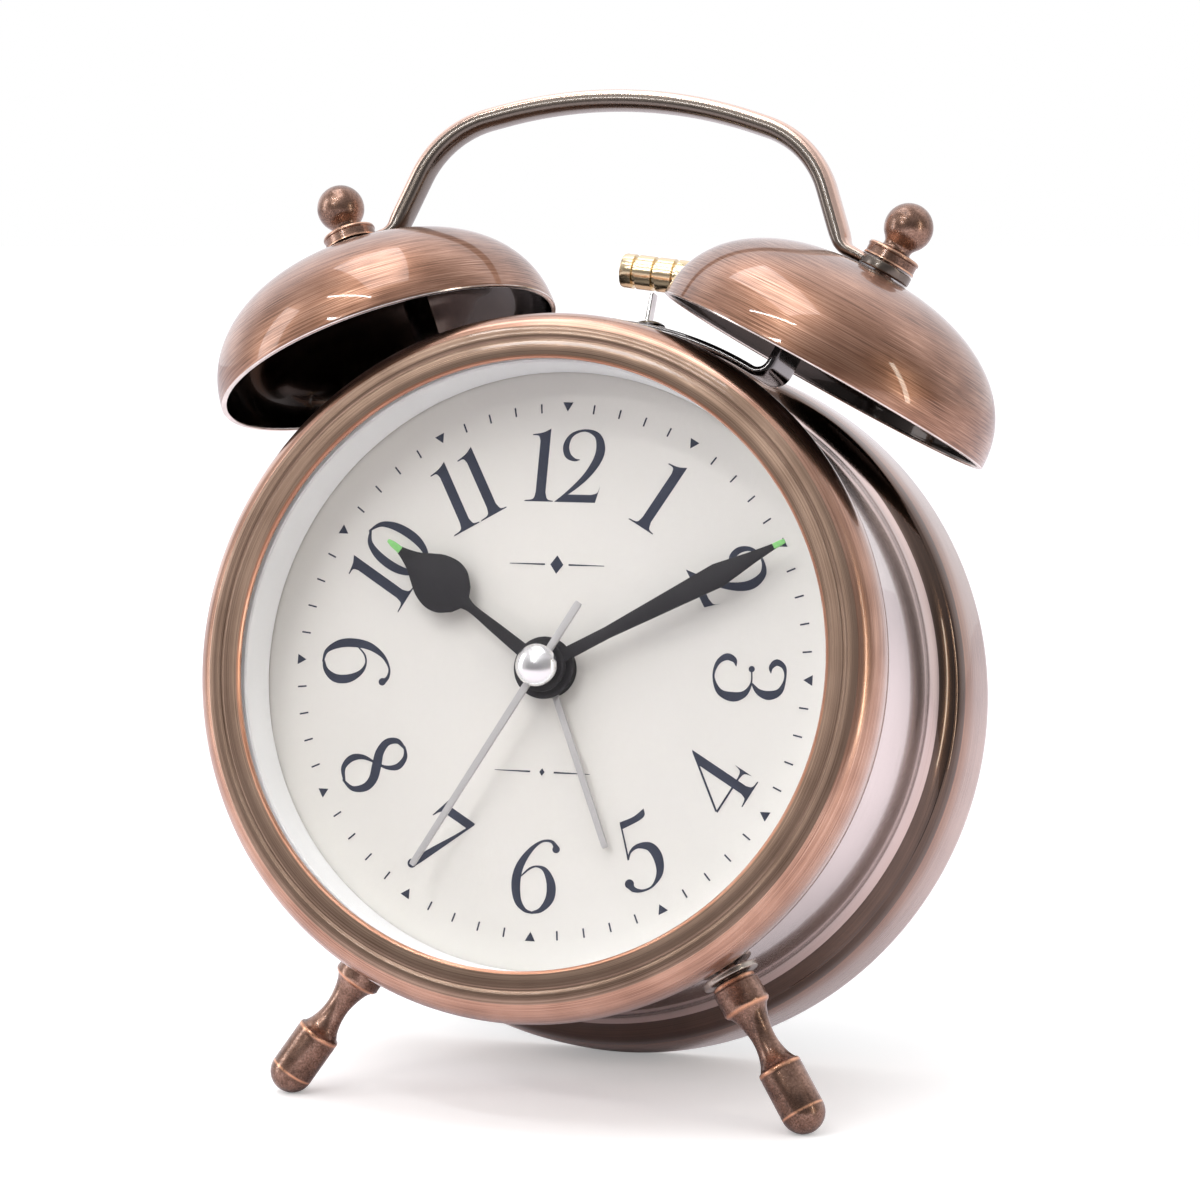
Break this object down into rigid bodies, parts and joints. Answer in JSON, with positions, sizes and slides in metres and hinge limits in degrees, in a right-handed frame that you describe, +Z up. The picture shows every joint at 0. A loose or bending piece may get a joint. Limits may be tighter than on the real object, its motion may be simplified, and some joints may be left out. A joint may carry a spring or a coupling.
{
  "type": "alarm clock",
  "caption": "Round twin-bell alarm clock leaning back on turned legs, with a carrying handle, a hammer between the bells, geared hands and setting knobs behind.",
  "frame": {"origin": "middle of the footprint box, on the surface that the two feet and the rear ring stand on", "axes": "+Z up, -Y the way the dial faces, +X to the right as seen from the front; the clock leans back 13.26 degrees"},
  "size_m": [0.1316, 0.0932, 0.1651],
  "materials": {
    "copper": "antique copper plate, brushed and lacquered",
    "dark_copper": "dark antique copper plate on turned steel",
    "gunmetal": "gunmetal plate with a copper sheen",
    "black_nickel": "glossy black nickel plate",
    "steel": "bright steel",
    "brass": "turned and polished",
    "chrome": "polished chrome",
    "ring_white": "white moulding",
    "dial_cream": "matt cream with printed slate-blue marks",
    "black_plastic": "fine-textured moulding",
    "black_paint": "satin black",
    "grey_paint": "satin silver grey",
    "glass": "clear",
    "circuit": "green board",
    "winding": "copper winding",
    "gear_plastic": "natural acetal",
    "battery_wrap": "plain dark sleeve"
  },
  "bodies": {
    "clock": {"back_cover": "black_plastic", "battery": "battery_wrap", "battery_contact": "steel", "battery_spring": "steel", "bell_bracket": "black_nickel", "bezel": "copper", "bracket_pad": "black_plastic", "bracket_screw_1": "steel", "bracket_screw_2": "steel", "case_shell": "copper", "circuit_board": "circuit", "coil_core": "steel", "cover_screw_1": "steel", "cover_screw_2": "steel", "cover_screw_3": "steel", "dial": "dial_cream", "dial_ring": "ring_white", "drive_coil": "winding", "hammer_pin": "steel", "handle": "gunmetal", "left_bell": "copper", "left_bell_nut": "steel", "left_finial": "dark_copper", "left_leg": "dark_copper", "left_leg_nut": "steel", "left_leg_washer": "steel", "lens": "glass", "motion_pin": "steel", "movement_cover": "black_plastic", "movement_housing": "black_plastic", "rear_ring": "copper", "right_bell": "copper", "right_bell_nut": "steel", "right_finial": "dark_copper", "right_leg": "dark_copper", "right_leg_nut": "steel", "right_leg_washer": "steel", "step_motor": "gear_plastic", "striker_coil": "winding", "striker_core": "steel"},
    "minute": {"cannon_pinion": "gear_plastic", "minute_hand": "black_paint"},
    "hour": {"hour_wheel": "gear_plastic", "hour_hand": "black_paint"},
    "motion_work": {"motion_wheel": "gear_plastic"},
    "time_knob": {"time_set_knob": "black_plastic"},
    "alarm": {"alarm_wheel": "gear_plastic", "alarm_hand": "grey_paint"},
    "alarm_knob": {"alarm_set_knob": "black_plastic"},
    "second": {"second_arbor": "steel", "second_hand": "grey_paint", "hand_cap": "chrome"},
    "hammer": {"hammer_arm": "steel", "hammer_head": "brass"},
    "switch": {"alarm_switch": "black_plastic"},
    "door": {"battery_door": "black_plastic"}
  },
  "joints": [
    {"name": "time_set_knob_turn", "type": "hinge", "parent": "clock", "child": "time_knob", "pos_m": [0.00856, -0.02394, 0.06179], "axis": [0, 0.9733, -0.2294], "continuous": true},
    {"name": "minute_hand_turn", "type": "hinge", "parent": "clock", "child": "minute", "pos_m": [-0.00144, -0.02164, 0.07152], "axis": [0, 0.9733, -0.2294], "continuous": true},
    {"name": "motion_wheel_turn", "type": "hinge", "parent": "clock", "child": "motion_work", "pos_m": [-0.00144, -0.02394, 0.06179], "axis": [0, 0.9733, -0.2294], "continuous": true},
    {"name": "hour_hand_turn", "type": "hinge", "parent": "clock", "child": "hour", "pos_m": [-0.00144, -0.02164, 0.07152], "axis": [0, 0.9733, -0.2294], "continuous": true},
    {"name": "alarm_set_knob_turn", "type": "hinge", "parent": "clock", "child": "alarm_knob", "pos_m": [-0.01194, -0.02164, 0.07152], "axis": [0, 0.9733, -0.2294], "continuous": true},
    {"name": "alarm_hand_turn", "type": "hinge", "parent": "clock", "child": "alarm", "pos_m": [-0.00144, -0.02164, 0.07152], "axis": [0, 0.9733, -0.2294], "continuous": true},
    {"name": "second_hand_turn", "type": "hinge", "parent": "clock", "child": "second", "pos_m": [-0.00144, -0.02164, 0.07152], "axis": [0, 0.9733, -0.2294], "continuous": true},
    {"name": "hammer_swing", "type": "hinge", "parent": "clock", "child": "hammer", "pos_m": [-0.00144, -0.00223, 0.07105], "axis": [0, 0.9733, -0.2294], "range_deg": [-11.2, 1.9]},
    {"name": "alarm_switch_slide", "type": "slide", "parent": "clock", "child": "switch", "axis": [1, 0, 0], "range_m": [0, 0.005]},
    {"name": "battery_door_hinge", "type": "hinge", "parent": "clock", "child": "door", "pos_m": [-0.00144, 0.02187, 0.01945], "axis": [-1, 0, 0], "range_deg": [0, 100]}
  ],
  "couplings": [
    {"joint": "minute_hand_turn", "follows": "time_set_knob_turn", "ratio": 1},
    {"joint": "motion_wheel_turn", "follows": "time_set_knob_turn", "ratio": -0.33333},
    {"joint": "hour_hand_turn", "follows": "time_set_knob_turn", "ratio": 0.083333},
    {"joint": "alarm_hand_turn", "follows": "alarm_set_knob_turn", "ratio": -0.3125}
  ]
}
